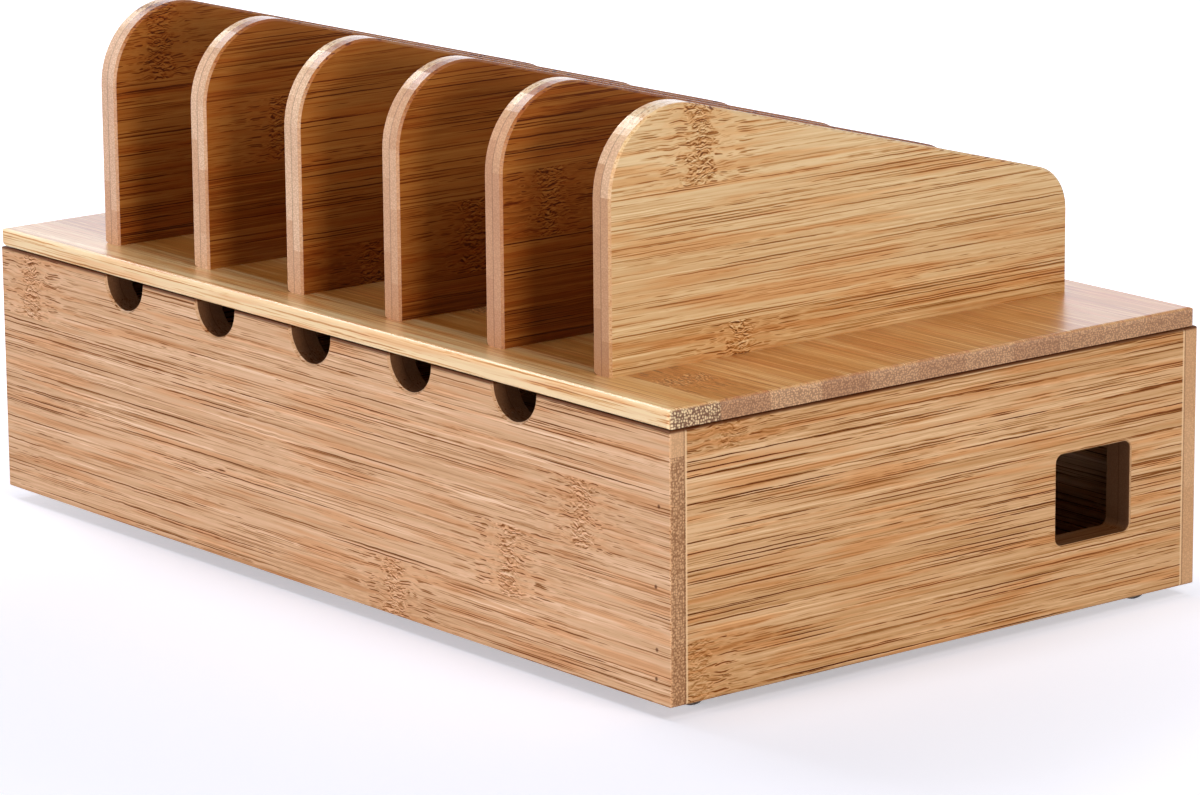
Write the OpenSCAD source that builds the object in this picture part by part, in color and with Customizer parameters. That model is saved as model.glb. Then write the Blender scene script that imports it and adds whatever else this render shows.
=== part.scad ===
// Charging station organizer: a bamboo box for a power strip, with a loose lid that carries
// six upright dividers. The origin is the centre of the surface it stands on, +Y is its rear.

/* [Box] */
// Length of the box, left to right
box_l = 335; // [310:1:420]
// Depth of the box, front to rear
box_d = 203; // [190:1:260]
// Height of the walls
box_h = 79; // [70:1:120]
// Thickness of the walls, two glued plies
wall_t = 10; // [9:0.5:12]
// Lip of the front and rear walls that covers the ends of the side walls
lip_t = 5.4; // [4:0.2:6]
// Thickness of the base board
base_t = 5; // [4:0.5:8]
// Easing of the box's upright arrises and of those along its front and rear
box_ease = 0.6; // [0.3:0.1:1.2]
// Rounding of the upper and lower arrises at the box's left and right ends
box_end_ease = 1.2; // [0.3:0.1:2]

/* [Openings] */
// Radius of the half-round cable notches
notch_r = 10; // [6:0.5:14]
// Width of the power-cord hole
hole_w = 30; // [20:1:45]
// Height of the power-cord hole
hole_h = 27.5; // [18:0.5:36]
// Corner radius of the power-cord hole
hole_r = 2.5; // [2:0.5:6]
// Lower edge of the power-cord hole above the wall's foot
hole_sill = 21; // [12:0.5:30]
// Distance of the power-cord hole from the rear of the box
hole_from_rear = 27; // [14:1:60]
// Easing of the rims of the notches
notch_ease = 0.7; // [0.3:0.1:1.2]
// Easing of the outer rim of the power-cord hole
hole_ease = 0.4; // [0.2:0.1:1.2]

/* [Lid] */
// Thickness of the lid board
lid_t = 5.5; // [5.2:0.1:8]
// Shadow gap between the walls and the lid
lid_gap = 0.3; // [0.2:0.1:0.6]
// Distance that the lid's rear edge stays inside the box's rear face
lid_rear_inset = 1.2; // [0.5:0.1:3]
// Rounding of the lid's upper arris and upright corners
lid_round = 1.6; // [0.8:0.2:2]
// Rounding under the lid's left end, where fingers lift it
lid_grip_round = 3.6; // [2:0.2:3.6]
// Easing of the lid's other lower arrises
lid_ease = 0.5; // [0.2:0.1:0.6]

/* [Dividers] */
// Thickness of a divider, two glued plies
divider_t = 8; // [6:0.5:10]
// Clear width of the slot between two dividers
slot_w = 41; // [30:0.5:43]
// Depth of a divider, front to rear
divider_d = 176; // [150:1:180]
// Highest point of a divider above the lid
divider_h = 75.2; // [65:0.5:90]
// Distance from the lid's front edge to the dividers
divider_setback = 12.5; // [8:0.5:13]
// Fall of a divider's top edge towards the rear, in degrees
divider_slope = 14.7; // [10:0.1:16]
// Radius of a divider's front upper corner
divider_front_r = 25; // [15:0.5:30]
// Radius of a divider's rear upper corner
divider_rear_r = 14.5; // [8:0.5:18]
// Rounding along the foot of a divider's left face
divider_foot_round = 2.4; // [1:0.1:3]
// Easing of a divider's arrises
divider_ease = 0.7; // [0.3:0.1:1.2]

/* [Cleats] */
// Width of the cleats under the lid
cleat_w = 14; // [12:1:20]
// Height of the cleats
cleat_h = 8; // [6:0.5:12]
// Clearance between the cleats and the walls
cleat_play = 1; // [0.5:0.1:2]
// Easing of the cleats' lower arrises
cleat_ease = 1.2; // [0.5:0.1:2]

/* [Screws] */
// Diameter of the screws' shanks
screw_d = 3; // [2.5:0.1:3.5]
// Diameter of the screws' countersunk heads
screw_head_d = 6; // [5.2:0.1:7]
// Length of each arm pair of the cross recess in the heads
screw_recess_l = 3.3; // [2.5:0.1:4.5]
// Width of the recess's arms
screw_recess_w = 0.7; // [0.5:0.1:1]
// Depth of the recess
screw_recess_h = 1.2; // [0.6:0.1:1.4]
// Reach of the divider screws into the dividers
divider_screw_bite = 14.5; // [10:0.5:24]
// Reach of the cleat screws into the lid
cleat_screw_bite = 4; // [3:0.1:4.5]
// Clearance round the screws
screw_play = 0.1; // [0.05:0.05:0.2]
// Distance from a divider's front and rear edges to its screws
divider_screw_inset = 30; // [20:1:50]
// Distance from a cleat's ends to its outer screws
cleat_screw_inset = 20; // [10:1:40]

/* [Feet] */
// Diameter of the stick-on feet
foot_d = 9.5; // [8:0.5:13]
// Height of the feet
foot_h = 3.8; // [1.5:0.1:4]
// Diameter of the feet's flat faces
foot_flat_d = 3; // [2:0.5:5]
// Distance of the feet's edges from the base board's short ends
foot_side_gap = 0.4; // [0.2:0.1:6]
// Distance of the feet's edges from the base board's long edges
foot_front_gap = 5.4; // [1:0.1:20]

/* [Hidden] */

// Number of dividers, one more than the slots
divider_count = 6;
// Extra reach of a cutter past the face it cuts
over = 1;
// Thickness of the slices that a hull joins
slice = 0.01;
// Radius at the point of a screw
screw_tip_r = 0.1;
// Steps round a full circle, for small roundings and screws, and for wide arcs
fine = 16;
smooth = 64;

box_z = foot_h;
box_top = box_z + box_h;
lid_z = box_top + lid_gap;
lid_top = lid_z + lid_t;
lid_d = box_d - lid_rear_inset;
lid_y = -lid_rear_inset / 2;
inner_l = box_l - 2 * wall_t;
inner_d = box_d - 2 * wall_t;
divider_pitch = slot_w + divider_t;
divider_front = -box_d / 2 + divider_setback;
divider_rear = divider_front + divider_d;
screw_head_h = (screw_head_d - screw_d) / 2;
divider_screw_l = lid_t + divider_screw_bite;
cleat_screw_l = cleat_h + cleat_screw_bite;

// Centres of a divider's two upper corners, as distance from front and height above the lid.
// The rear one follows from the slope, which touches both corner arcs.
slope_normal = [sin(divider_slope), cos(divider_slope)];
front_arc = [divider_front + divider_front_r, divider_h - divider_front_r];
slope_reach = slope_normal * front_arc + divider_front_r;
rear_arc_y = divider_rear - divider_rear_r;
rear_arc_h = (slope_reach - divider_rear_r - slope_normal[0] * rear_arc_y) / slope_normal[1];
rear_arc = [rear_arc_y, rear_arc_h];

bamboo = [0.84, 0.64, 0.40];
bamboo_light = [0.90, 0.74, 0.52];
bamboo_dark = [0.74, 0.52, 0.30];
steel = [0.72, 0.73, 0.75];
clear = [0.90, 0.92, 0.93];

// Rectangle centred on the origin with round corners
module round_rect(w, h, r) {
    square([w - 2 * r, h], center = true);
    square([w, h - 2 * r], center = true);
    for (x = [-1, 1], y = [-1, 1])
        translate([x * (w / 2 - r), y * (h / 2 - r)]) circle(r, $fn = fine);
}

// Outer form of the closed box, which all four walls share, with all its arrises rounded
module box_form() {
    translate([0, 0, box_z + box_h / 2]) intersection() {
        linear_extrude(box_h, center = true) round_rect(box_l, box_d, box_ease);
        rotate([90, 0, 0])
            linear_extrude(box_d + over, center = true) round_rect(box_l, box_h, box_end_ease);
        rotate([90, 0, 90])
            linear_extrude(box_l + over, center = true) round_rect(box_d, box_h, box_ease);
    }
}

// Space that the base board fills, with its rabbet in the walls
module base_space(reach) {
    l = box_l - 2 * lip_t;
    d = box_d - 2 * lip_t;
    translate([-l / 2, -d / 2, box_z - reach]) cube([l, d, base_t + reach]);
}

// Front or rear wall, rabbeted at both ends for the side walls, on the side of y
module long_wall(y) {
    end_y = box_d / 2 - wall_t;
    difference() {
        intersection() {
            box_form();
            translate([-box_l, y > 0 ? end_y : -box_d, box_z - over])
                cube([2 * box_l, box_d - end_y, box_h + 2 * over]);
        }
        for (x = [-1, 1])
            translate([x > 0 ? inner_l / 2 : -box_l, -box_d / 2 + lip_t, box_z - over])
                cube([box_l - inner_l / 2, box_d - 2 * lip_t, box_h + 2 * over]);
        base_space(over);
    }
}

// Side wall, held between the lips of the front and rear walls, on the side of x
module side_wall(x) {
    length = box_d - 2 * lip_t;
    difference() {
        intersection() {
            box_form();
            translate([x > 0 ? inner_l / 2 : -box_l, -length / 2, box_z - over])
                cube([box_l - inner_l / 2, length, box_h + 2 * over]);
        }
        base_space(over);
    }
}

// Cutter for a half-round notch through the front wall, with its outer rim eased
module notch_cutter() {
    rotate([-90, 0, 0]) {
        translate([0, 0, -over]) cylinder(wall_t + 2 * over, notch_r, notch_r, $fn = smooth);
        translate([0, 0, -over])
            cylinder(over + notch_ease, notch_r + over + notch_ease, notch_r, $fn = smooth);
        translate([0, 0, wall_t - notch_ease])
            cylinder(over + notch_ease, notch_r, notch_r + over + notch_ease, $fn = smooth);
    }
}

// Centre of each slot between two dividers, where its notch is
function slot_x(i) = (i - (divider_count - 2) / 2) * divider_pitch;
// Centre of each divider
function divider_x(i) = (i - (divider_count - 1) / 2) * divider_pitch;

module front_panel() {
    color(bamboo) difference() {
        long_wall(-1);
        for (i = [0 : divider_count - 2])
            translate([slot_x(i), -box_d / 2, box_top]) notch_cutter();
    }
}

module rear_panel() {
    color(bamboo) long_wall(1);
}

module left_side_panel() {
    color(bamboo) side_wall(-1);
}

// Cutter for the power-cord hole, drawn along +X from the wall's inner face, its rim eased
module hole_cutter() {
    flare = 2 * (over + hole_ease);
    rotate([90, 0, 90]) {
        translate([0, 0, -over])
            linear_extrude(wall_t + 2 * over) round_rect(hole_w, hole_h, hole_r);
        hull() {
            translate([0, 0, wall_t - hole_ease])
                linear_extrude(slice) round_rect(hole_w, hole_h, hole_r);
            translate([0, 0, wall_t + over])
                linear_extrude(slice)
                    round_rect(hole_w + flare, hole_h + flare, hole_r + flare / 2);
        }
    }
}

module right_side_panel() {
    color(bamboo) difference() {
        side_wall(1);
        translate([
            inner_l / 2,
            box_d / 2 - hole_from_rear - hole_w / 2,
            box_z + hole_sill + hole_h / 2
        ]) hole_cutter();
    }
}

module base_panel() {
    color(bamboo_light) base_space(0);
}

// Outline of the lid's end, with its grip rounding below the left end
module lid_side_outline() {
    difference() {
        union() {
            translate([-box_l / 2, 0]) square([box_l, lid_t - lid_round]);
            translate([-box_l / 2 + lid_round, 0]) square([box_l - 2 * lid_round, lid_t]);
            for (x = [-1, 1])
                translate([x * (box_l / 2 - lid_round), lid_t - lid_round])
                    circle(lid_round, $fn = fine);
        }
        translate([-box_l / 2, 0]) difference() {
            translate([-over, -over]) square(lid_grip_round + over);
            translate([lid_grip_round, lid_grip_round]) circle(lid_grip_round, $fn = smooth);
        }
    }
}

// Outline of the lid from front to rear
module lid_front_outline() {
    translate([-lid_d / 2, lid_ease]) square([lid_d, lid_t - lid_round - lid_ease]);
    translate([-lid_d / 2 + lid_ease, 0]) square([lid_d - 2 * lid_ease, lid_t / 2]);
    translate([-lid_d / 2 + lid_round, lid_t / 2])
        square([lid_d - 2 * lid_round, lid_t / 2]);
    for (y = [-1, 1]) {
        translate([y * (lid_d / 2 - lid_round), lid_t - lid_round])
            circle(lid_round, $fn = fine);
        translate([y * (lid_d / 2 - lid_ease), lid_ease]) circle(lid_ease, $fn = fine);
    }
}

// Countersunk hole upwards from the origin, which the screw fills but for its clearance
module screw_hole(length) {
    cylinder(length + 2 * screw_play, r = screw_d / 2 + screw_play, $fn = fine);
    translate([0, 0, -over])
        cylinder(over + screw_play, r = screw_head_d / 2 + screw_play, $fn = fine);
    translate([0, 0, screw_play])
        cylinder(screw_head_h, screw_head_d / 2 + screw_play, screw_d / 2 + screw_play, $fn = fine);
}

// Countersunk wood screw that points upwards, with a cross recess in its head
module screw(length) {
    tip = screw_d;
    difference() {
        union() {
            cylinder(screw_head_h, screw_head_d / 2, screw_d / 2, $fn = fine);
            cylinder(length - tip, r = screw_d / 2, $fn = fine);
            translate([0, 0, length - tip]) cylinder(tip, screw_d / 2, screw_tip_r, $fn = fine);
        }
        for (a = [0, 90])
            rotate(a) translate([-screw_recess_l / 2, -screw_recess_w / 2, -over])
                cube([screw_recess_l, screw_recess_w, over + screw_recess_h]);
    }
}

// Places of the divider screws, in the lid's lower face
module at_divider_screws(i) {
    for (y = [divider_front + divider_screw_inset, divider_rear - divider_screw_inset])
        translate([divider_x(i), y, lid_z]) children();
}

// Places of the cleat screws, in the cleats' lower faces
module at_cleat_screws() {
    reach = inner_d / 2 - cleat_play - cleat_screw_inset;
    for (x = [-1, 1], y = [-reach, 0, reach])
        translate([x * (inner_l / 2 - cleat_play - cleat_w / 2), y, lid_z - cleat_h])
            children();
}

module lid_board() {
    color(bamboo_light) difference() {
        intersection() {
            translate([0, lid_y, lid_z]) rotate([90, 0, 0])
                linear_extrude(lid_d + over, center = true) lid_side_outline();
            translate([0, lid_y, lid_z]) rotate([90, 0, 90])
                linear_extrude(box_l + over, center = true) lid_front_outline();
            translate([0, lid_y, lid_z - over])
                linear_extrude(lid_t + 2 * over) round_rect(box_l, lid_d, lid_round);
        }
        for (i = [0 : divider_count - 1]) at_divider_screws(i) screw_hole(divider_screw_l);
        at_cleat_screws() screw_hole(cleat_screw_l);
    }
}

// Outline of a divider seen from the right, drawn in by the given amount at its edges
module divider_outline(inset) {
    front_r = divider_front_r - inset;
    rear_r = divider_rear_r - inset;
    polygon([
        [divider_front + inset, 0],
        [divider_front + inset, front_arc[1]],
        front_arc,
        front_arc + front_r * slope_normal,
        rear_arc + rear_r * slope_normal,
        rear_arc,
        [divider_rear - inset, rear_arc[1]],
        [divider_rear - inset, 0]
    ]);
    intersection() {
        translate(front_arc) circle(front_r, $fn = smooth);
        translate([divider_front, front_arc[1]]) square([divider_d, divider_front_r]);
    }
    intersection() {
        translate(rear_arc) circle(rear_r, $fn = smooth);
        translate([divider_front, rear_arc[1]]) square([divider_d, divider_rear_r]);
    }
}

// Cutter that rounds the foot of the left face, along a divider's depth
module foot_round_cutter() {
    rotate([90, 0, 0]) linear_extrude(2 * box_d, center = true) difference() {
        translate([-over, -over]) square(divider_foot_round + over);
        translate([divider_foot_round, divider_foot_round])
            circle(divider_foot_round, $fn = smooth);
    }
}

// Divider with eased arrises: its faces are drawn in and joined to the full outline
module divider(i) {
    color(bamboo) difference() {
        translate([divider_x(i), 0, lid_top]) difference() {
            hull() {
                rotate([90, 0, 90])
                    linear_extrude(divider_t - 2 * divider_ease, center = true)
                        divider_outline(0);
                rotate([90, 0, 90])
                    linear_extrude(divider_t, center = true) divider_outline(divider_ease);
            }
            translate([-divider_t / 2, 0, 0]) foot_round_cutter();
        }
        at_divider_screws(i) screw_hole(divider_screw_l);
    }
}

// Cleat on the side of x, with its lower arrises eased
module lid_cleat(x) {
    length = inner_d - 2 * cleat_play;
    profile = [
        [-cleat_w / 2, 0], [-cleat_w / 2, -cleat_h + cleat_ease],
        [-cleat_w / 2 + cleat_ease, -cleat_h], [cleat_w / 2 - cleat_ease, -cleat_h],
        [cleat_w / 2, -cleat_h + cleat_ease], [cleat_w / 2, 0]
    ];
    color(bamboo_dark) difference() {
        translate([x * (inner_l / 2 - cleat_play - cleat_w / 2), 0, lid_z])
            rotate([90, 0, 0]) linear_extrude(length, center = true) polygon(profile);
        at_cleat_screws() screw_hole(cleat_screw_l);
    }
}

module divider_screws() {
    color(steel) for (i = [0 : divider_count - 1])
        at_divider_screws(i) translate([0, 0, screw_play]) screw(divider_screw_l);
}

module cleat_screws() {
    color(steel) at_cleat_screws() translate([0, 0, screw_play]) screw(cleat_screw_l);
}

// Clear dome foot under the corner on the sides of x and y
module foot(x, y) {
    foot_x = box_l / 2 - lip_t - foot_side_gap - foot_d / 2;
    foot_y = box_d / 2 - lip_t - foot_front_gap - foot_d / 2;
    rim_r = foot_d / 2;
    flat_r = foot_flat_d / 2;
    sunk = (rim_r * rim_r - flat_r * flat_r + foot_h * foot_h) / (2 * foot_h);
    dome_r = sqrt(flat_r * flat_r + sunk * sunk);
    color(clear) translate([x * foot_x, y * foot_y, foot_h])
        rotate([180, 0, 0]) intersection() {
            translate([0, 0, foot_h - sunk]) sphere(dome_r, $fn = smooth);
            cylinder(foot_h, r = rim_r + over, $fn = smooth);
        }
}

front_panel();
rear_panel();
left_side_panel();
right_side_panel();
base_panel();
lid_board();
divider(0);  // divider_1
divider(1);  // divider_2
divider(2);  // divider_3
divider(3);  // divider_4
divider(4);  // divider_5
divider(5);  // divider_6
lid_cleat(-1);  // lid_cleat_left
lid_cleat(1);  // lid_cleat_right
divider_screws();
cleat_screws();
foot(-1, -1);  // foot_front_left
foot(1, -1);  // foot_front_right
foot(-1, 1);  // foot_rear_left
foot(1, 1);  // foot_rear_right
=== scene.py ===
# %% [markdown]
# # A bamboo charging station organizer
# The real object is a lacquered bamboo box for a power strip, with a loose lid that carries six
# dividers. Its construction comes from the CAD model at its real size, in metres, and this
# script gives every piece its finish, the studio and the camera. We load the frame first and
# keep its box.

import math

import bpy
from mathutils import Matrix, Vector


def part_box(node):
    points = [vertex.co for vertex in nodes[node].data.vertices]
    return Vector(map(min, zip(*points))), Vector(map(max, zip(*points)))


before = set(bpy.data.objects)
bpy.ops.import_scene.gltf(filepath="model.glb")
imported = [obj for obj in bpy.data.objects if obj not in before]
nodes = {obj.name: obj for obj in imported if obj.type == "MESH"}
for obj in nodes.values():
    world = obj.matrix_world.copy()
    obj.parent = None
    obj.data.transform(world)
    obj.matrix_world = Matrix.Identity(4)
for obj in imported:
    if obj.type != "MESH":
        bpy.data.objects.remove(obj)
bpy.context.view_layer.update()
bpy.ops.object.select_all(action="DESELECT")
MM = 0.001
box_low, box_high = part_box("front_panel")
print("pieces of the construction:", len(nodes))

# %% [markdown]
# ## The camera
# The photograph is taken with a long lens from the front right, a little above the lid. The
# place and the angles below were solved from the box's straight edges. A long lens could also be
# had by cropping, but a real focal length keeps the perspective of every other view right.

# %% Where the camera stands and looks
PHOTO_WIDTH = 1200
FOCAL_PX = 5404
SENSOR_WIDTH = 36
CAMERA_PLACE = Vector((1.2720, -1.0162, 0.4296))
CAMERA_AZIMUTH = math.radians(51.13)
CAMERA_ELEVATION = math.radians(13.23)
CAMERA_ROLL = math.radians(-0.50)

ahead = Vector((
    -math.sin(CAMERA_AZIMUTH) * math.cos(CAMERA_ELEVATION),
    math.cos(CAMERA_AZIMUTH) * math.cos(CAMERA_ELEVATION),
    -math.sin(CAMERA_ELEVATION),
))
level_right = ahead.cross(Vector((0, 0, 1))).normalized()
level_up = level_right.cross(ahead)
right = level_right * math.cos(CAMERA_ROLL) + level_up * math.sin(CAMERA_ROLL)
up = right.cross(ahead)
print("the camera looks along:", [round(part, 3) for part in ahead])

# %% The camera itself
camera_data = bpy.data.cameras.new("photo_camera")
camera_data.sensor_width = SENSOR_WIDTH
camera_data.lens = SENSOR_WIDTH * FOCAL_PX / PHOTO_WIDTH
camera = bpy.data.objects.new("photo_camera", camera_data)
bpy.context.collection.objects.link(camera)
turn = Matrix((right, up, -ahead)).transposed().to_4x4()
camera.matrix_world = Matrix.Translation(CAMERA_PLACE) @ turn
bpy.context.scene.camera = camera
print("lens in mm:", round(camera_data.lens, 1))

# %% [markdown]
# ## Small helpers for materials
# Colours are easiest to think of as the hex values of a paint chart, but shaders count in linear
# light, so one function converts them. A second one adds a node with its settings and links, which
# keeps each material readable as a list of steps.

# %% Colours
def hex_colour(text):
    """Turns an sRGB hex value into the linear colour that shaders use."""
    channels = [int(text[i:i + 2], 16) / 255 for i in (1, 3, 5)]
    linear = [c / 12.92 if c <= 0.04045 else ((c + 0.055) / 1.055) ** 2.4 for c in channels]
    return (*linear, 1.0)


print("a middle grey in linear light:", round(hex_colour("#808080")[0], 3))

# %% Nodes
def add(tree, kind, inputs=None, stops=None, **settings):
    """Adds a node, sets its own properties, and fills or links its sockets.

    stops, for a colour ramp, lists its places and colours.
    """
    node = tree.nodes.new(kind)
    if stops:
        node.color_ramp.interpolation = settings.pop("interpolation", "LINEAR")
        while len(node.color_ramp.elements) < len(stops):
            node.color_ramp.elements.new(1.0)
        for element, (place, colour) in zip(node.color_ramp.elements, stops):
            element.position = place
            element.color = colour
    for name, value in settings.items():
        setattr(node, name, value)
    for socket, value in (inputs or {}).items():
        if isinstance(value, bpy.types.NodeSocket):
            tree.links.new(value, node.inputs[socket])
        else:
            node.inputs[socket].default_value = value
    return node


# %% Materials and their pieces
def new_material(name):
    """Makes an empty material and returns it with its node tree."""
    material = bpy.data.materials.new(name)
    material.use_nodes = True
    material.node_tree.nodes.clear()
    return material, material.node_tree


def dress(node_name, material):
    """Gives a CAD node one material in all its slots."""
    mesh = nodes[node_name].data
    mesh.materials.clear()
    mesh.materials.append(material)


# %% [markdown]
# ## Bamboo: where we are on a board
# Bamboo board is made of laths, split from the cane, planed and glued side by side. What we see
# depends on three distances: along the grain, across the laths and through the board. A picture
# wrapped round the piece could show it too, but a solid texture, which reads the object's own
# coordinates, runs through the piece as real grain does: as lines on the faces and as dots on
# the sawn ends, which meet at the arris.

# %% Distances on a board
MM_PER_METRE = 1000
SEED_STEPS = (317.0, 53.0, 91.0)
print("a seed of 1 moves the noise by, in mm:", SEED_STEPS)


def board_space(tree, axes, centre, seed):
    """Gives the place on a board as sockets, in mm.

    axes are the object's axes along the grain, across the laths and through the board, and
    centre is the place, in metres, of the board's middle along the grain, the first lath's edge
    and the glue line between its plies. The seed moves the noise, so that no two boards match.
    """
    texture = add(tree, "ShaderNodeTexCoord")
    parts = add(tree, "ShaderNodeSeparateXYZ", {0: texture.outputs["Object"]})
    turned = add(tree, "ShaderNodeCombineXYZ", {
        "X": parts.outputs[axes[0]], "Y": parts.outputs[axes[1]], "Z": parts.outputs[axes[2]]})
    place = add(tree, "ShaderNodeVectorMath", {
        0: turned.outputs[0], 1: [MM_PER_METRE] * 3, 2: [-MM_PER_METRE * c for c in centre]},
        operation="MULTIPLY_ADD").outputs[0]
    seeded = add(tree, "ShaderNodeVectorMath", {
        0: place, 1: [seed * step for step in SEED_STEPS]}, operation="ADD")
    along, across, through = add(tree, "ShaderNodeSeparateXYZ", {0: place}).outputs
    normal = add(tree, "ShaderNodeSeparateXYZ", {0: texture.outputs["Normal"]})
    ends = add(tree, "ShaderNodeMath", {0: normal.outputs[axes[0]]}, operation="ABSOLUTE")
    flats = add(tree, "ShaderNodeMath", {0: normal.outputs[axes[2]]}, operation="ABSOLUTE")
    from_middle = add(tree, "ShaderNodeMath", {0: along}, operation="ABSOLUTE")
    return {"place": place, "seeded": seeded.outputs[0], "along": along, "across": across,
            "through": through, "from_middle": from_middle.outputs[0],
            "faces_end": ends.outputs[0], "faces_flat": flats.outputs[0]}


# %% [markdown]
# ## Bamboo: which lath are we on?
# Each lath comes from its own cane, so it has its own tone, and its knuckle sits at its own
# place. One colour ramp with hard steps holds that table: its red is the lath's tone, its green
# the place of its knuckle and its blue the coarseness of its bundles. That costs one node for
# any number of laths. In a board of two plies, the second ply's laths lie higher.

# %% The table of laths
def find_lath(tree, board, laths, length, ply_shift):
    """Gives the tone, knuckle distance and coarseness of the lath at a point."""
    second_ply = add(tree, "ShaderNodeMath", {0: board["through"], 1: 0.0},
                     operation="GREATER_THAN").outputs[0]
    raised = add(tree, "ShaderNodeMath", {0: second_ply, 1: ply_shift, 2: board["across"]},
                 operation="MULTIPLY_ADD")
    width = sum(lath[0] for lath in laths)
    edges = [sum(lath[0] for lath in laths[:i]) / width for i in range(len(laths))]
    stops = [(edge, (tone, knuckle / length + 0.5, coarse, 1))
             for edge, (_, tone, knuckle, coarse) in zip(edges, laths)]
    share = add(tree, "ShaderNodeMath", {0: raised.outputs[0], 1: 1 / width},
                operation="MULTIPLY")
    table = add(tree, "ShaderNodeValToRGB", {"Fac": share.outputs[0]}, stops=stops,
                interpolation="CONSTANT")
    tone, knuckle, coarse = add(
        tree, "ShaderNodeSeparateColor", {0: table.outputs[0]}).outputs
    knuckle_place = add(tree, "ShaderNodeMath", {0: knuckle, 1: length, 2: -length / 2},
                        operation="MULTIPLY_ADD")
    from_knuckle = add(tree, "ShaderNodeMath", {0: board["along"], 1: knuckle_place.outputs[0]},
                       operation="SUBTRACT")
    return {"tone": tone, "coarse": coarse, "from_knuckle": from_knuckle.outputs[0],
            "second_ply": second_ply}


# %% [markdown]
# ## Bamboo: the knuckles
# Every cane has a knuckle each 200 to 300 mm, where its fibres swirl and break up into dashes.
# We measure the distance to it, with a ragged border, and turn it into three rings: the core with
# its short standing fibres, an amber stain, and a halo of dashes. The fibres are bent by a noise
# that is strong at the knuckle and weak elsewhere, so they run almost straight between knuckles.

# %% Rings round a knuckle
RAGGED_BORDER = 14
RINGS = {"core": (2.5, 6), "stain": (3, 20), "halo": (12, 38)}
print("rings of a knuckle:", ", ".join(RINGS))


def knuckle_rings(tree, board, lath):
    """Gives each ring's strength: 1 up to its inner distance in mm, 0 past its outer one."""
    wander = add(tree, "ShaderNodeTexNoise", {
        "Vector": board["seeded"], "Scale": 0.3, "Detail": 2.0})
    ragged = add(tree, "ShaderNodeMath", {
        0: wander.outputs["Fac"], 1: RAGGED_BORDER, 2: lath["from_knuckle"]},
        operation="MULTIPLY_ADD")
    distance = add(tree, "ShaderNodeMath", {0: ragged.outputs[0], 1: RAGGED_BORDER / 2},
                   operation="SUBTRACT")
    apart = add(tree, "ShaderNodeMath", {0: distance.outputs[0]}, operation="ABSOLUTE")
    rings = {}
    for ring, (inner, outer) in RINGS.items():
        rings[ring] = add(tree, "ShaderNodeMapRange", {
            "Value": apart.outputs[0], "From Min": inner, "From Max": outer, "To Min": 1,
            "To Max": 0}, interpolation_type="SMOOTHSTEP").outputs[0]
    return rings


# %% The bend of the fibres
SWIRLS_PER_MM = (0.14, 0.3, 0.3)
BEND_AT_KNUCKLE = 2.2
BEND_ELSEWHERE = 0.35
print("one swirl in mm:", [round(1 / count, 1) for count in SWIRLS_PER_MM])


def bend_fibres(tree, board, rings):
    """Gives the place on the board, shifted by a swirl of so many mm."""
    swirl_space = add(tree, "ShaderNodeVectorMath", {
        0: board["seeded"], 1: SWIRLS_PER_MM}, operation="MULTIPLY")
    swirl = add(tree, "ShaderNodeTexNoise", {
        "Vector": swirl_space.outputs[0], "Scale": 1.0, "Detail": 1.0})
    reach = add(tree, "ShaderNodeMath", {
        0: rings["stain"], 1: BEND_AT_KNUCKLE, 2: BEND_ELSEWHERE}, operation="MULTIPLY_ADD")
    centred = add(tree, "ShaderNodeVectorMath", {
        0: swirl.outputs["Color"], 1: (0.5, 0.5, 0.5)}, operation="SUBTRACT")
    shift = add(tree, "ShaderNodeVectorMath", {
        0: centred.outputs[0], "Scale": reach.outputs[0]}, operation="SCALE")
    return add(tree, "ShaderNodeVectorMath", {
        0: board["seeded"], 1: shift.outputs[0]}, operation="ADD").outputs[0]


# %% [markdown]
# ## Bamboo: soft bands and sharp bundles
# Along the grain the dark vascular bundles show as fine lines, over soft bands and streaks.
# Plain noise, drawn out a hundredfold, makes the soft ones. For the bundles it would give blurred
# lines of any width, so they are cells instead, drawn out in the same way: a thin dark line lies
# at the heart of each cell, and its width stays the same all along.

# %% Soft figures
# Bands and streaks are the broad and the fine changes of tone. Stains are amber, a break is where
# the long lines stop, and a crowd is where the finest ones lie close. Each has its run along the
# grain and its pitch across it in mm, and the span of noise that becomes 0 to 1.
SOFT_FIGURES = {
    "band": (240, 5, 0.32, 0.68), "streak": (90, 1.0, 0.34, 0.66),
    "stain": (50, 2.6, 0.5, 0.64), "break": (60, 2.2, 0.26, 0.44),
    "crowd": (150, 4.5, 0.36, 0.62),
}
print("soft figures:", ", ".join(SOFT_FIGURES))


def soft_figures(tree, bent):
    """Gives each soft figure as a socket from 0 to 1."""
    shows = {}
    for figure, (run, pitch, low, high) in SOFT_FIGURES.items():
        drawn_out = add(tree, "ShaderNodeVectorMath", {
            0: bent, 1: (1 / run, 1 / pitch, 1 / pitch)}, operation="MULTIPLY")
        noise = add(tree, "ShaderNodeTexNoise", {
            "Vector": drawn_out.outputs[0], "Scale": 1.0, "Detail": 1.0, "Roughness": 0.5})
        shows[figure] = add(tree, "ShaderNodeMapRange", {
            "Value": noise.outputs["Fac"], "From Min": low, "From Max": high}).outputs[0]
    return shows


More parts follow.
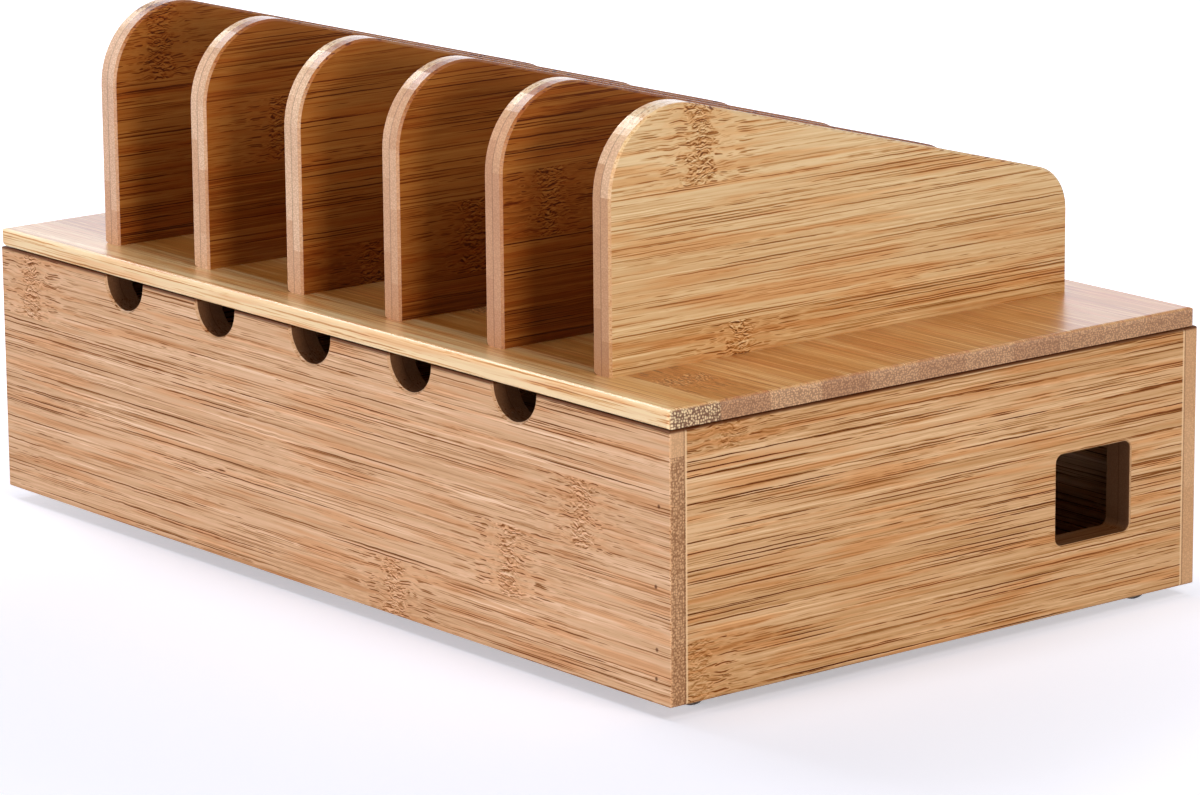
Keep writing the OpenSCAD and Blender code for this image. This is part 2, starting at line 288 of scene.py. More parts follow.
# %% Bundles
# Hairs are the finest, threads and lines the longer and darker ones, dashes lie round a knuckle,
# and pale ones are wood between bundles. Each has its run and pitch in mm, and its radius as a
# share of the pitch: a line is 2 x radius x pitch wide. Those with True also have a paler rim.
BUNDLES = {
    "hair": (50, 0.52, 0.38, False), "thread": (90, 0.75, 0.32, True),
    "line": (300, 0.95, 0.27, True), "dash": (13, 0.66, 0.38, True),
    "pale": (110, 1.0, 0.28, False),
}
HEART = (0.75, 1.05)
RIM = (1.1, 1.7)
WEAKEST_BUNDLE = 0.45
for figure, (_, pitch, radius, _) in BUNDLES.items():
    print(figure, "width in mm:", round(2 * radius * pitch, 2))


def bundle_figures(tree, bent):
    """Gives the bundles, each with a strength of its own, and their rims."""
    shows, rims = {}, {}
    for figure, (run, pitch, radius, has_rim) in BUNDLES.items():
        drawn_out = add(tree, "ShaderNodeVectorMath", {
            0: bent, 1: (1 / run, 1 / pitch, 1 / pitch)}, operation="MULTIPLY")
        cell = add(tree, "ShaderNodeTexVoronoi", {"Vector": drawn_out.outputs[0], "Scale": 1.0})
        luck = add(tree, "ShaderNodeSeparateColor", {0: cell.outputs["Color"]})
        strength = add(tree, "ShaderNodeMapRange", {
            "Value": luck.outputs[0], "To Min": WEAKEST_BUNDLE})
        heart = add(tree, "ShaderNodeMapRange", {
            "Value": cell.outputs["Distance"], "From Min": HEART[0] * radius,
            "From Max": HEART[1] * radius, "To Min": 1, "To Max": 0})
        shows[figure] = add(tree, "ShaderNodeMath", {
            0: heart.outputs[0], 1: strength.outputs[0]}, operation="MULTIPLY").outputs[0]
        if has_rim:
            rims[figure] = add(tree, "ShaderNodeMapRange", {
                "Value": cell.outputs["Distance"], "From Min": RIM[0] * radius,
                "From Max": RIM[1] * radius, "To Min": 1, "To Max": 0}).outputs[0]
    return shows, rims


# %% [markdown]
# ## Bamboo: inside a knuckle
# There the short fibres stand up and down through the board and look like worms in relief. Rings
# or blotches of noise don't read as that. One noise, less the same noise a little lower, has a lit
# and a shaded side, as a relief has.

# %% Worms
WORMS_PER_MM = (0.45, 1.15, 1.15)
WORM_SHADOW = 0.35
WORM_RELIEF = 0.13
print("one worm in mm:", [round(1 / count, 1) for count in WORMS_PER_MM])


def knuckle_worms(tree, bent):
    """Gives the shade of the standing fibres, from 0.05 to 1."""
    slopes = []
    for lower in (0, WORM_SHADOW):
        worm_space = add(tree, "ShaderNodeVectorMath", {
            0: bent, 1: WORMS_PER_MM, 2: (0, lower, 0)}, operation="MULTIPLY_ADD")
        slopes.append(add(tree, "ShaderNodeTexNoise", {
            "Vector": worm_space.outputs[0], "Scale": 1.0, "Detail": 1.5,
            "Distortion": 0.6}).outputs["Fac"])
    relief = add(tree, "ShaderNodeMath", {0: slopes[1], 1: slopes[0]}, operation="SUBTRACT")
    return add(tree, "ShaderNodeMapRange", {
        "Value": relief.outputs[0], "From Min": -WORM_RELIEF, "From Max": WORM_RELIEF,
        "To Min": 0.05, "To Max": 1.0}).outputs[0]


# %% [markdown]
# ## Bamboo: one shade, then one colour ramp
# All figures first work on one number, the shade, which runs from 0, the darkest fibre, to 1, the
# palest. Only then does a colour ramp turn it into colour. Mixing each figure towards black would
# be shorter, but it greys the wood, while a ramp keeps the darks a saturated brown.

# %% The shade of a planed face
FIGURE_REACH = 0.5
TONE_REACH = 0.38
TONE_FLOOR = 0.47
THINNEST_CROWD = 0.4
print("shades of a plain lath:", TONE_FLOOR, "to", TONE_FLOOR + TONE_REACH)


def planed_shade(tree, lath, rings, shows, rims, worms, tones):
    """Lays the figures over the lath's own tone, one after the other."""
    both = add(tree, "ShaderNodeMath", {0: shows["band"], 1: shows["streak"]}, operation="ADD")
    centred = add(tree, "ShaderNodeMath", {0: both.outputs[0], 1: 1.0}, operation="SUBTRACT")
    figured = add(tree, "ShaderNodeMath", {
        0: centred.outputs[0], 1: FIGURE_REACH * tones["figure"], 2: lath["tone"]},
        operation="MULTIPLY_ADD")
    shade = add(tree, "ShaderNodeMath", {0: figured.outputs[0], 1: TONE_REACH, 2: TONE_FLOOR},
                operation="MULTIPLY_ADD").outputs[0]

    core, halo, lines = rings["core"], rings["halo"], tones["lines"]
    field = add(tree, "ShaderNodeMath", {0: 1.0, 1: halo}, operation="SUBTRACT").outputs[0]
    crowd = add(tree, "ShaderNodeMapRange", {
        "Value": shows["crowd"], "To Min": THINNEST_CROWD}).outputs[0]
    broken = add(tree, "ShaderNodeMath", {0: shows["break"], 1: field},
                 operation="MULTIPLY").outputs[0]
    # What shows, where, how much of it, and the shade that it turns to.
    layers = (
        (shows["pale"], field, 0.85, 1.0),
        (rims["thread"], field, 0.3, 1.0),
        (rims["line"], broken, 0.4, 1.0),
        (shows["hair"], crowd, 0.75 * lines, 0.05),
        (shows["thread"], field, 0.95 * lines, 0.0),
        (shows["line"], broken, lines, 0.0),
        (rims["dash"], halo, 0.35, 1.0),
        (shows["dash"], halo, tones["dashes"], 0.0),
        (core, 1.0, tones["worms"], worms),
    )
    for figure, where, most, turns_to in layers:
        covered = add(tree, "ShaderNodeMath", {0: figure, 1: where}, operation="MULTIPLY")
        part = add(tree, "ShaderNodeMath", {0: covered.outputs[0], 1: most},
                   operation="MULTIPLY")
        shade = add(tree, "ShaderNodeMix", {0: part.outputs[0], 2: shade, 3: turns_to}).outputs[0]
    return shade


# %% The colour of a planed face
FACE_RAMP = (("fibre", 0.0), ("deep", 0.22), ("low", 0.42), ("mid", 0.6), ("high", 0.8),
             ("pale", 1.0))
print("tones of a planed face:", ", ".join(tone for tone, _ in FACE_RAMP))


def planed_colour(tree, shade, lath, rings, shows, tones):
    """Turns the shade into colour, with amber stains along the grain and round the knuckles."""
    colour = add(tree, "ShaderNodeValToRGB", {"Fac": shade}, stops=[
        (place, hex_colour(tones[tone])) for tone, place in FACE_RAMP]).outputs[0]
    ringed = add(tree, "ShaderNodeMath", {0: rings["stain"], 1: shows["streak"]},
                 operation="MULTIPLY")
    stained = add(tree, "ShaderNodeMath", {0: shows["stain"], 1: ringed.outputs[0]},
                  operation="MAXIMUM")
    amber = add(tree, "ShaderNodeMath", {0: stained.outputs[0], 1: tones["amber"]},
                operation="MULTIPLY")
    colour = add(tree, "ShaderNodeMix", {
        0: amber.outputs[0], 6: colour, 7: hex_colour(tones["stain"])},
        data_type="RGBA", blend_type="MULTIPLY").outputs[2]
    # Painted shade: the second ply, the right-hand one, of the first five dividers is tinted
    # darker.
    if "second_ply" in tones:
        colour = add(tree, "ShaderNodeMix", {
            0: lath["second_ply"], 6: colour, 7: hex_colour(tones["second_ply"])},
            data_type="RGBA", blend_type="MULTIPLY").outputs[2]
    return colour


# %% [markdown]
# ## Bamboo: sawn ends
# Where a board is sawn across, the same bundles are cut through: pale dots about 0.7 mm apart in a
# dark net, bolder where the lath is coarse. The lath's ground is even here, and the dots are
# what varies. A flat slice of the cells gives round dots, because the slice is the same all the
# way along the grain.

# %% Sawn ends
DOT_PITCHES = (0.66, 0.82)
DOT_EDGE = (0.28, 0.56)
END_RAMP = (("end_low", 0.0), ("end_high", 0.75), ("end_pale", 1.0))
BOLDEST_NET = 0.95
TURN_TO_END = (0.55, 0.8)
print("dots per 10 mm:", [round(10 / pitch) for pitch in DOT_PITCHES])


def with_sawn_ends(tree, colour, board, lath, tones, seed):
    """Shows the dots instead of the lines wherever the surface faces along the grain."""
    dots = []
    for pitch in DOT_PITCHES:
        dot_space = add(tree, "ShaderNodeVectorMath", {
            0: board["place"], 1: (0, 1 / pitch, 1 / pitch), 2: (0.5, seed, seed)},
            operation="MULTIPLY_ADD")
        dot = add(tree, "ShaderNodeTexVoronoi", {
            "Vector": dot_space.outputs[0], "Scale": 1.0, "Randomness": 0.7})
        dots.append(add(tree, "ShaderNodeMapRange", {
            "Value": dot.outputs["Distance"], "From Min": DOT_EDGE[0],
            "From Max": DOT_EDGE[1]}).outputs[0])
    net = add(tree, "ShaderNodeMix", {0: lath["coarse"], 2: dots[0], 3: dots[1]})
    contrast = add(tree, "ShaderNodeMapRange", {
        "Value": lath["coarse"], "To Min": tones["netting"], "To Max": BOLDEST_NET})
    net_part = add(tree, "ShaderNodeMath", {0: net.outputs[0], 1: contrast.outputs[0]},
                   operation="MULTIPLY")
    ground = add(tree, "ShaderNodeValToRGB", {"Fac": lath["tone"]}, stops=[
        (place, hex_colour(tones[tone])) for tone, place in END_RAMP])
    end = add(tree, "ShaderNodeMix", {
        0: net_part.outputs[0], 6: ground.outputs[0], 7: hex_colour(tones["end_dot"])},
        data_type="RGBA")
    sawn = add(tree, "ShaderNodeMapRange", {
        "Value": board["faces_end"], "From Min": TURN_TO_END[0], "From Max": TURN_TO_END[1]})
    return add(tree, "ShaderNodeMix", {
        0: sawn.outputs[0], 6: colour, 7: end.outputs[2]}, data_type="RGBA").outputs[2]


# %% [markdown]
# ## Bamboo: marks of the workshop, and painted light at the edges
# Making the box leaves marks of its own. Pin nails hold the corners, sunk flush, so each shows only
# as a dark speck 1 mm wide, and the two plies meet in a hair of darker glue. Three more are painted
# light: a pale line where a side wall's board ends, beside its neighbour, is a painted highlight on
# its arris; the walls of the notches and of the hole carry painted shade; and the top millimetre of
# a wall carries painted shade for the dark of the lid's gap.

# %% Painted highlight on a planed face and painted shade on the cut edges
# The painted highlight's line and the height above the foot are in mm, and a cut edge is told by
# how far it turns from the board's flat.
ARRIS_HIGHLIGHT_LINE = (0.7, 0.35)
CUT_EDGE = (0.3, 0.8)
ABOVE_FOOT = 3
CUT_SHADE = 0.8
print("the sanded line is wide, in mm:", ARRIS_HIGHLIGHT_LINE[0] - ARRIS_HIGHLIGHT_LINE[1])


def with_painted_arris_highlight(tree, colour, board, tones, arris):
    """Paints a highlight, a pale line, where the board ends, arris mm from its middle."""
    edge = add(tree, "ShaderNodeMapRange", {
        "Value": board["from_middle"], "From Min": arris - ARRIS_HIGHLIGHT_LINE[0],
        "From Max": arris - ARRIS_HIGHLIGHT_LINE[1], "To Max": 0.85})
    return add(tree, "ShaderNodeMix", {
        0: edge.outputs[0], 6: colour, 7: hex_colour(tones["pale"])},
        data_type="RGBA").outputs[2]


def with_painted_cut_shade(tree, colour, board, tones, routed):
    """Paints shade on the cut edges up to routed mm from the board's middle, above its foot."""
    cut = add(tree, "ShaderNodeMapRange", {
        "Value": board["faces_flat"], "From Min": CUT_EDGE[0], "From Max": CUT_EDGE[1],
        "To Min": 1, "To Max": 0})
    between_ends = add(tree, "ShaderNodeMath", {0: board["from_middle"], 1: routed},
                       operation="LESS_THAN")
    above_foot = add(tree, "ShaderNodeMath", {0: board["across"], 1: ABOVE_FOOT},
                     operation="GREATER_THAN")
    inside = add(tree, "ShaderNodeMath", {
        0: between_ends.outputs[0], 1: above_foot.outputs[0]}, operation="MULTIPLY")
    cut_shade = add(tree, "ShaderNodeMath", {0: cut.outputs[0], 1: inside.outputs[0]},
                operation="MULTIPLY")
    cut_shade = add(tree, "ShaderNodeMath", {0: cut_shade.outputs[0], 1: CUT_SHADE}, operation="MULTIPLY")
    return add(tree, "ShaderNodeMix", {
        0: cut_shade.outputs[0], 6: colour, 7: hex_colour(tones["fibre"])},
        data_type="RGBA").outputs[2]


# %% Nails, the painted shade under the lid and the glue line
# All in mm, from full to none, or from none to full for the painted shade under the lid.
NAIL_EDGE = (0.35, 0.8)
GAP_SHADE_EDGE = (1.1, 0.5)
GLUE_EDGE = (0.05, 0.3)
print("a nail's speck is wide, in mm:", sum(NAIL_EDGE))


def with_nails(tree, colour, board, tones, nails):
    """Marks the head of each nail, given in mm along, across and through the board."""
    for nail in nails:
        off = add(tree, "ShaderNodeVectorMath", {0: board["place"], 1: nail},
                  operation="DISTANCE")
        speck = add(tree, "ShaderNodeMapRange", {
            "Value": off.outputs["Value"], "From Min": NAIL_EDGE[0], "From Max": NAIL_EDGE[1],
            "To Min": 0.85, "To Max": 0})
        colour = add(tree, "ShaderNodeMix", {
            0: speck.outputs[0], 6: colour, 7: hex_colour(tones["fibre"])},
            data_type="RGBA").outputs[2]
    return colour


def with_painted_gap_shade(tree, colour, board, tones, rim):
    """Paints shade on the last millimetre below the top edge, which is rim mm high, for the dark of
    the lid's gap.
    """
    gap_shade = add(tree, "ShaderNodeMapRange", {
        "Value": board["across"], "From Min": rim - GAP_SHADE_EDGE[0], "From Max": rim - GAP_SHADE_EDGE[1],
        "To Max": 0.9})
    return add(tree, "ShaderNodeMix", {
        0: gap_shade.outputs[0], 6: colour, 7: hex_colour(tones["fibre"])},
        data_type="RGBA").outputs[2]


def with_glue_line(tree, colour, board, tones):
    """Draws the glue line where the two plies meet."""
    off_line = add(tree, "ShaderNodeMath", {0: board["through"]}, operation="ABSOLUTE")
    glue = add(tree, "ShaderNodeMapRange", {
        "Value": off_line.outputs[0], "From Min": GLUE_EDGE[0], "From Max": GLUE_EDGE[1],
        "To Min": 0.45, "To Max": 0})
    return add(tree, "ShaderNodeMix", {
        0: glue.outputs[0], 6: colour, 7: hex_colour(tones["fibre"])},
        data_type="RGBA").outputs[2]


# %% [markdown]
# ## Bamboo: the whole material
# Now the steps above are put in order, and the lacquer goes on last: a clear coat over the wood.
# It sinks a little into the fibres, which stay rougher than the rest and lie about 0.06 mm deep.
# The walls have a thin coat, and the lid and the dividers a full one, which shines at a low angle.

# %% Lacquered bamboo
PLY_SHIFT = 9
ROUGH_FIBRE = 0.6
ROUGH_WOOD = 0.4
FIBRE_DEPTH = 0.06 * MM
print("roughness of fibre and wood:", ROUGH_FIBRE, ROUGH_WOOD)


def lacquered(tree, colour, shade, tones):
    """Ends the material: the wood's own surface under its coat of lacquer."""
    rough = add(tree, "ShaderNodeMapRange", {
        "Value": shade, "To Min": ROUGH_FIBRE, "To Max": ROUGH_WOOD})
    bump = add(tree, "ShaderNodeBump", {
        "Height": shade, "Strength": 0.4, "Distance": FIBRE_DEPTH})
    shader = add(tree, "ShaderNodeBsdfPrincipled", {
        "Base Color": colour, "Roughness": rough.outputs[0], "Normal": bump.outputs[0],
        "IOR": 1.5, "Specular IOR Level": 0.1, "Coat Weight": tones["lacquer"],
        "Coat Roughness": tones["satin"], "Coat IOR": tones["ior"]})
    add(tree, "ShaderNodeOutputMaterial", {0: shader.outputs[0]})


def bamboo(name, axes, centre, length, laths, tones, seed, ply_shift=PLY_SHIFT, arris=None,
           rim=None, routed=None, nails=()):
    """Makes a lacquered bamboo board's material.

    length is the span in mm of the table's knuckle places. laths lists the width of each lath
    in mm, its tone from 0 to 1 or a little more, the place of its knuckle in mm from the middle,
    and how coarse its bundles are. The second ply's laths lie ply_shift mm higher, and 0 means
    a single ply. The other values are those of the marks above.
    """
    material, tree = new_material(name)
    board = board_space(tree, axes, centre, seed)
    lath = find_lath(tree, board, laths, length, ply_shift)
    rings = knuckle_rings(tree, board, lath)
    bent = bend_fibres(tree, board, rings)
    shows = soft_figures(tree, bent)
    bundles, rims = bundle_figures(tree, bent)
    shows.update(bundles)
    worms = knuckle_worms(tree, bent)
    shade = planed_shade(tree, lath, rings, shows, rims, worms, tones)
    colour = planed_colour(tree, shade, lath, rings, shows, tones)
    if arris:
        colour = with_painted_arris_highlight(tree, colour, board, tones, arris)
    colour = with_sawn_ends(tree, colour, board, lath, tones, seed)
    if routed:
        colour = with_painted_cut_shade(tree, colour, board, tones, routed)
    colour = with_nails(tree, colour, board, tones, nails)
    if rim:
        colour = with_painted_gap_shade(tree, colour, board, tones, rim)
    if ply_shift:
        colour = with_glue_line(tree, colour, board, tones)
    lacquered(tree, colour, shade, tones)
    print(name, "laths:", len(laths), "nodes:", len(tree.nodes))
    return material


# %% [markdown]
# ## The walls
# The walls are two plies of bamboo, 10 mm in all, with their grain level. Their faces are a
# pinkish tan in the light, with fibre lines of dark brown. We give each wall its own laths, so that
# no two show the same figure, and we put the knuckles where the real ones have theirs.

# %% The tones of the walls
# From fibre to pale they are the colours of the shade's ramp, and figure, lines, dashes and worms
# are how strongly those figures show. stain and amber colour the stains, the end tones the sawn
# ends, and netting is how bold their finest net is. The last are the coat's weight, roughness and
# index of refraction.
WALL = {
    "fibre": "#562400", "deep": "#85501E", "low": "#B88A60", "mid": "#D0A67E",
    "high": "#E2BA95", "pale": "#F8D8B8", "stain": "#F0C48C", "amber": 0.4,
    "end_low": "#CC9A6E", "end_high": "#E6BC92", "end_pale": "#F4DCB0", "end_dot": "#74401C",
    "netting": 0.2, "figure": 0.85, "lines": 0.9, "dashes": 0.85, "worms": 0.7,
    "lacquer": 0.12, "satin": 0.2, "ior": 1.5,
}
GOLDEN = dict(WALL, fibre="#522000", deep="#7E4612", low="#B07E4A", mid="#CC9E6C",
              high="#E0B68A", pale="#F6D4AA", stain="#F4C688", amber=0.5, lines=1.0, worms=0.45)
print("tones of a board:", len(WALL))

# %% The laths of the walls
front_wall_laths = [(17, 0.35, 40, 0.7), (21, 0.55, 95, 0.7), (20, 0.45, 128, 0.7),
                    (13, 0.6, -150, 0.7), (8, 0.6, -150, 0)]
rear_wall_laths = [(19, 0.5, -90, 0), (20, 0.4, 30, 0), (21, 0.6, 120, 0), (19, 0.45, -20, 0)]
right_wall_laths = [(27, 0.45, -92, 0), (20, 0.6, -150, 0), (21, 0.65, 160, 0),
                    (12, 0.75, 160, 0), (8, 0.45, -80, 0)]
left_wall_laths = [(20, 0.5, 20, 0), (20, 0.6, -60, 0), (19, 0.4, 70, 0), (20, 0.55, -5, 0)]
corner_nails = [(162.5, 56.8, -5), (161, 33.7, -5), (161.3, 15.7, -5), (161, 7.3, -5)]
print("nails in the front wall's corner:", len(corner_nails))

# %% The walls get their finish
PLY = 5 * MM
# In mm: how high a wall is, how far from its middle a side wall's end with its painted highlight
# lies, the span of the side walls' knuckle places, and how far from the middle the router's cuts
# reach.
WALL_TOP = 79
SIDE_END = 96.1
SIDE_SPAN = 400
NOTCHES_REACH = 160
HOLE_REACH = 92

length = box_high.x - box_low.x
long_span = MM_PER_METRE * length
foot = box_low.z
front_y = box_low.y + PLY
rear_y = -front_y
side_x = box_high.x - PLY
dress("front_panel", bamboo(
    "bamboo_front_wall", (0, 2, 1), (0, foot, front_y), long_span, front_wall_laths, WALL, 1,
    rim=WALL_TOP, routed=NOTCHES_REACH, nails=corner_nails))
dress("rear_panel", bamboo(
    "bamboo_rear_wall", (0, 2, 1), (0, foot, rear_y), long_span, rear_wall_laths, WALL, 2,
    rim=WALL_TOP))
dress("right_side_panel", bamboo(
    "bamboo_right_wall", (1, 2, 0), (0, foot, side_x), SIDE_SPAN, right_wall_laths, GOLDEN, 3,
    arris=SIDE_END, rim=WALL_TOP, routed=HOLE_REACH))
dress("left_side_panel", bamboo(
    "bamboo_left_wall", (1, 2, 0), (0, foot, -side_x), SIDE_SPAN, left_wall_laths, GOLDEN, 4,
    arris=SIDE_END, rim=WALL_TOP))

# %% [markdown]
# ## The base and the lid
# The lid is one layer of laths 18 mm wide, edge glued, with the grain along its length. Its front
# lath is paler than the others and its bundles are coarser. The base is such a board too, and so
# are the cleats under the lid, each cut from one lath.

# %% Base and lid
LID = dict(WALL, fibre="#4A2000", deep="#783C0C", low="#A6621C", mid="#C48236", high="#E2B06E",
           pale="#F8DCAC", stain="#F0B468", end_low="#BC885E", end_high="#E4B88C",
           end_dot="#6E3E1C", netting=0.6, lacquer=1.0, ior=1.6, satin=0.3, figure=0.6,
           lines=0.45, worms=0.9, dashes=0.9)
lid_low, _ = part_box("lid_board")
lid_laths = [(5, 1.4, 190, 1), (13, 0.95, 190, 1), (18, 0.25, 142, 0), (19, 0.7, 30, 0),
             (18, 0.2, 90, 0), (18, 0.5, -120, 0), (18, 0.3, 10, 0), (19, 0.5, -30, 0),
             (18, 0.25, 70, 0), (18, 0.4, -90, 0), (18, 0.5, 50, 0), (20, 0.35, -10, 0)]
dress("lid_board", bamboo("bamboo_lid", (0, 1, 2), (0, lid_low.y, lid_low.z), long_span,
                          lid_laths, LID, 5, ply_shift=0))
dress("base_panel", bamboo("bamboo_base", (0, 1, 2), (0, lid_low.y, foot), long_span,
                           lid_laths, WALL, 6, ply_shift=0))

# %% Cleats
FIRST_CLEAT_SEED = 20
cleat_laths = [(40, 0.5, 30, 0)]
for number, node_name in enumerate(("lid_cleat_left", "lid_cleat_right")):
    low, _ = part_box(node_name)
    dress(node_name, bamboo(
        "bamboo_cleat_%d" % (number + 1), (1, 0, 2), (0, low.x, low.z), SIDE_SPAN, cleat_laths,
        WALL, FIRST_CLEAT_SEED + number, ply_shift=0))

# %% [markdown]
# ## The dividers
# Each divider is two plies of 4 mm with level grain, so its front edge shows sawn ends with the
# glue line up the middle. All six share one recipe and differ in their laths. The right-hand ply of
# the first five carries painted shade, a darker tint, and their bottom laths are low in tone,
# darker
# towards the bottom: that brings the slots between them near the deep shade of the real ones.
# Weaker lamps would darken the slots too, but the rest of the lid with them.

# %% The tones of the dividers
DIVIDER = dict(WALL, fibre="#4A1E00", deep="#8A5418", low="#B88448", mid="#D6AA74",
               high="#E6C696", pale="#F6DCB0", stain="#F0BC70", amber=0.45, figure=0.65,
               end_pale="#ECC8A4", end_dot="#A06C48", netting=0.35, lacquer=1.0, ior=1.35,
               lines=0.75, worms=0.9, dashes=0.75)
# For the first five dividers the right-hand ply is tinted darker: painted shade for their dark
# slots.
SHADED_RIGHT_PLY = dict(DIVIDER, second_ply="#C09058", lines=0.9, figure=0.85)
END_TONES = (
    {"end_low": "#D8A884", "end_high": "#F2CEAE"}, {"end_low": "#DAAC86", "end_high": "#F4D2B0"},
    {"end_low": "#D8AA84", "end_high": "#F2D0AE"}, {"end_low": "#CC9C76", "end_high": "#E8C09C"},
    {"end_low": "#C69470", "end_high": "#E2B48C"}, {"end_low": "#A87850", "end_high": "#CC9E76"},
)
print("dividers with sawn ends of their own:", len(END_TONES))

# %% Dividers
DIVIDER_SPAN = 500
FIRST_DIVIDER_SEED = 7
# The bottom laths of the first five are low in tone: painted shade, darker towards the bottom of
# their slots.
divider_laths = [
    [(20, 0.1, 10, 0), (20, 0.5, -40, 0), (20, 0.5, 60, 0), (20, 0.7, -70, 0)],
    [(20, 0.3, 40, 0), (20, 0.1, 70, 0), (20, 0.6, -60, 0), (20, 0.4, 20, 0)],
    [(22, 0.1, -62, 0), (20, 0.6, 50, 0), (18, 0.5, -20, 0), (20, 0.8, 80, 0)],
    [(20, 0.0, 60, 0), (22, 0.3, -60, 0), (18, 0.6, 30, 0), (20, 0.3, -10, 0)],
    [(20, 0.0, -20, 0), (20, 0.2, 30, 0), (20, 0.1, -70, 0), (20, 0.5, 50, 0)],
    [(19, 0.25, -40, 0), (21, 0.6, 200, 0), (20, 0.75, 210, 0), (20, 0.95, -55, 0)],
]
for number, (laths, end_tones) in enumerate(zip(divider_laths, END_TONES)):
    node_name = "divider_%d" % (number + 1)
    low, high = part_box(node_name)
    middle = (low + high) / 2
    is_last = number == len(divider_laths) - 1
    tones = {**(DIVIDER if is_last else SHADED_RIGHT_PLY), **end_tones}
    dress(node_name, bamboo(
        "bamboo_" + node_name, (1, 2, 0), (middle.y, low.z, middle.x), DIVIDER_SPAN, laths,
        tones, FIRST_DIVIDER_SEED + number))

# %% [markdown]
# ## Screws and feet
# The screws are zinc-plated steel: a bright metal with a faint blue and a fine, even roughness.
# The feet are domes of clear polyurethane, which look like drops of glass with soft edges. Both
# are too small to show much, but a flat metal or a flawless glass would still look like plastic.

# %% Screws
def zinc_plate():
    """Zinc-plated steel: metallic, with the plating's fine blotches in its roughness."""
    material, tree = new_material("zinc_plated_steel")
    place = add(tree, "ShaderNodeTexCoord")
    blotch = add(tree, "ShaderNodeTexNoise", {
        "Vector": place.outputs["Object"], "Scale": 900, "Detail": 3})
    rough = add(tree, "ShaderNodeMapRange", {
        "Value": blotch.outputs["Fac"], "To Min": 0.25, "To Max": 0.5})
    tint = add(tree, "ShaderNodeValToRGB", {"Fac": blotch.outputs["Fac"]}, stops=[
        (0.3, hex_colour("#B9BDC4")), (0.7, hex_colour("#D5D8DC"))])
    shader = add(tree, "ShaderNodeBsdfPrincipled", {
        "Base Color": tint.outputs[0], "Metallic": 1.0, "Roughness": rough.outputs[0]})
    add(tree, "ShaderNodeOutputMaterial", {0: shader.outputs[0]})
    return material


zinc = zinc_plate()
screws = [node_name for node_name in nodes if node_name.endswith("_screws")]
for node_name in screws:
    dress(node_name, zinc)
print("groups of screws:", len(screws))

# %% Feet
def clear_rubber():
    """Clear polyurethane: light passes through it, and its skin has a fine haze."""
    material, tree = new_material("clear_polyurethane")
    place = add(tree, "ShaderNodeTexCoord")
    haze = add(tree, "ShaderNodeTexNoise", {
        "Vector": place.outputs["Object"], "Scale": 600, "Detail": 2})
    rough = add(tree, "ShaderNodeMapRange", {
        "Value": haze.outputs["Fac"], "To Min": 0.08, "To Max": 0.2})
    shader = add(tree, "ShaderNodeBsdfPrincipled", {
        "Base Color": hex_colour("#F2F4F6"), "Roughness": rough.outputs[0], "IOR": 1.49,
        "Transmission Weight": 0.9})
    add(tree, "ShaderNodeOutputMaterial", {0: shader.outputs[0]})
    return material


rubber = clear_rubber()
feet = [node_name for node_name in nodes if node_name.startswith("foot_")]
for node_name in feet:
    dress(node_name, rubber)
print("feet:", len(feet))

# %% [markdown]
# ## The studio
# The floor is plain, pale paper, which keeps the shadow. For the camera it glows a little, less
# near the front of the box, where the weaker glow is a painted shade over the real shadow, and the
# world is white, so the background is white by its colour alone and no lamp has to be driven up
# until the bamboo pales. Mirror rays see that white too, as lacquer does in a real studio, but not
# after a
# bounce off a matt surface: it would wash out the dark slots.

# %% Floor
# The glow is weakest round a point just in front of the box: painted shade on the floor there.
FLOOR_SIZE = 8
PAINTED_SHADE_CENTRE = (0.08, -0.12, 0)
PAINTED_SHADE_RADIUS = 0.12
WHITE_RADIUS = 0.45
GLOW_IN_PAINTED_SHADE = 0.44

bpy.ops.mesh.primitive_plane_add(size=FLOOR_SIZE, location=(0, 0, 0))
floor = bpy.context.object
floor.name = "studio_floor"
material, tree = new_material("matt_studio_paper")
path = add(tree, "ShaderNodeLightPath")
place = add(tree, "ShaderNodeTexCoord")
away = add(tree, "ShaderNodeVectorMath", {
    0: place.outputs["Object"], 1: PAINTED_SHADE_CENTRE}, operation="DISTANCE")
strength = add(tree, "ShaderNodeMapRange", {
    "Value": away.outputs["Value"], "From Min": PAINTED_SHADE_RADIUS, "From Max": WHITE_RADIUS,
    "To Min": GLOW_IN_PAINTED_SHADE, "To Max": 1.0}, interpolation_type="SMOOTHSTEP")
paper = add(tree, "ShaderNodeBsdfDiffuse", {"Color": hex_colour("#DADEEE")})
glow = add(tree, "ShaderNodeEmission", {
    "Color": hex_colour("#F8F7FC"), "Strength": strength.outputs[0]})
both = add(tree, "ShaderNodeAddShader", {0: paper.outputs[0], 1: glow.outputs[0]})
seen = add(tree, "ShaderNodeMixShader", {
    0: path.outputs["Is Camera Ray"], 1: paper.outputs[0], 2: both.outputs[0]})
add(tree, "ShaderNodeOutputMaterial", {0: seen.outputs[0]})
floor.data.materials.append(material)

# %% World
SKY_ON_MATT_SURFACES = 0.04

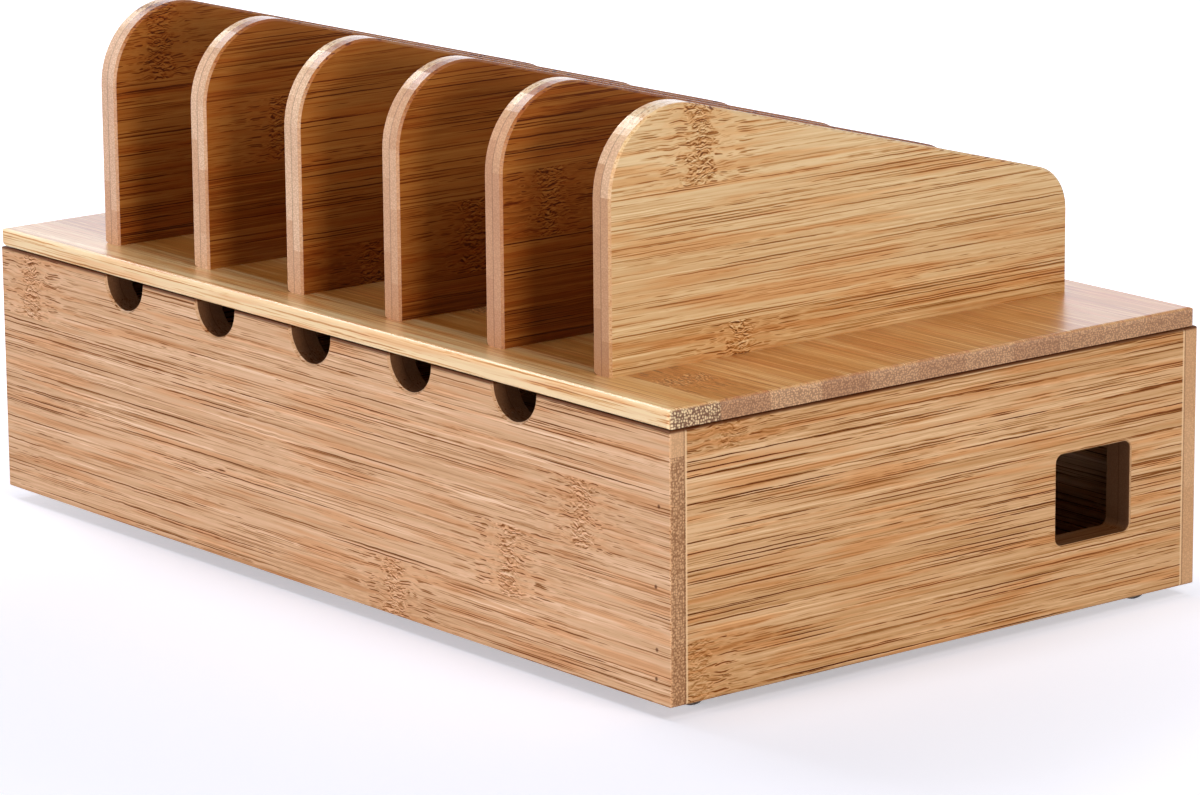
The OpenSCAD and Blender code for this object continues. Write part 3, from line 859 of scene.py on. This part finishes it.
world = bpy.data.worlds.new("studio_world")
bpy.context.scene.world = world
world.use_nodes = True
tree = world.node_tree
tree.nodes.clear()
path = add(tree, "ShaderNodeLightPath")
direct = add(tree, "ShaderNodeMath", {0: path.outputs["Diffuse Depth"], 1: 1},
             operation="LESS_THAN")
mirrored = add(tree, "ShaderNodeMath", {
    0: path.outputs["Is Glossy Ray"], 1: direct.outputs[0]}, operation="MULTIPLY")
bright = add(tree, "ShaderNodeMath", {
    0: path.outputs["Is Camera Ray"], 1: mirrored.outputs[0]}, operation="MAXIMUM")
bright = add(tree, "ShaderNodeMath", {
    0: bright.outputs[0], 1: path.outputs["Is Transmission Ray"]}, operation="MAXIMUM")
strength = add(tree, "ShaderNodeMapRange", {
    "Value": bright.outputs[0], "To Min": SKY_ON_MATT_SURFACES, "To Max": 1.0})
sky = add(tree, "ShaderNodeBackground", {
    "Color": hex_colour("#FCFBFF"), "Strength": strength.outputs[0]})
add(tree, "ShaderNodeOutputWorld", {0: sky.outputs[0]})
print("nodes of the world:", len(tree.nodes))

# %% [markdown]
# ## The lamps
# Seven soft boxes stand round the box, about 2.4 m off. The one in front is the strongest and
# lights the long wall, and a warmer one on the right lights the end wall and the last divider. Two
# from high up and one overhead shape the lid, a weak one fills in the left, and a low one behind
# lies on the lid's lacquer as a pale sheen where no divider stands in its way.

# %% Lamps
AIM = Vector((0, 0, 0.08))
# Name, place and size in metres, power in watts, and tint.
SOFTBOXES = (
    ("front", (0.0, -2.3, 0.35), 0.6, 31, "#FFFAFA"),
    ("right", (2.3, -0.4, 0.35), 0.6, 21, "#FFF4E4"),
    ("above_right", (1.7, 0.0, 1.7), 0.8, 14, "#FFF8EE"),
    ("above_left", (-1.7, 0.0, 1.7), 0.8, 13, "#FFFFFF"),
    ("left", (-2.3, 0.0, 0.4), 0.8, 9, "#FFFFFF"),
    ("above", (0.0, -0.2, 2.4), 0.8, 10, "#FFFFFF"),
    ("behind", (-1.75, 1.4, 0.6), 1.2, 3.3, "#F0F2FF"),
)
for name, place, size, watts, tint in SOFTBOXES:
    data = bpy.data.lights.new(name, "AREA")
    data.size = size
    data.energy = watts
    data.color = hex_colour(tint)[:3]
    lamp = bpy.data.objects.new(name, data)
    bpy.context.collection.objects.link(lamp)
    lamp.location = place
    lamp.rotation_euler = (AIM - Vector(place)).to_track_quat("-Z", "Y").to_euler()
bpy.context.scene.view_settings.view_transform = "Standard"
print("lamps:", len(SOFTBOXES), "watts in all:", sum(lamp[3] for lamp in SOFTBOXES))
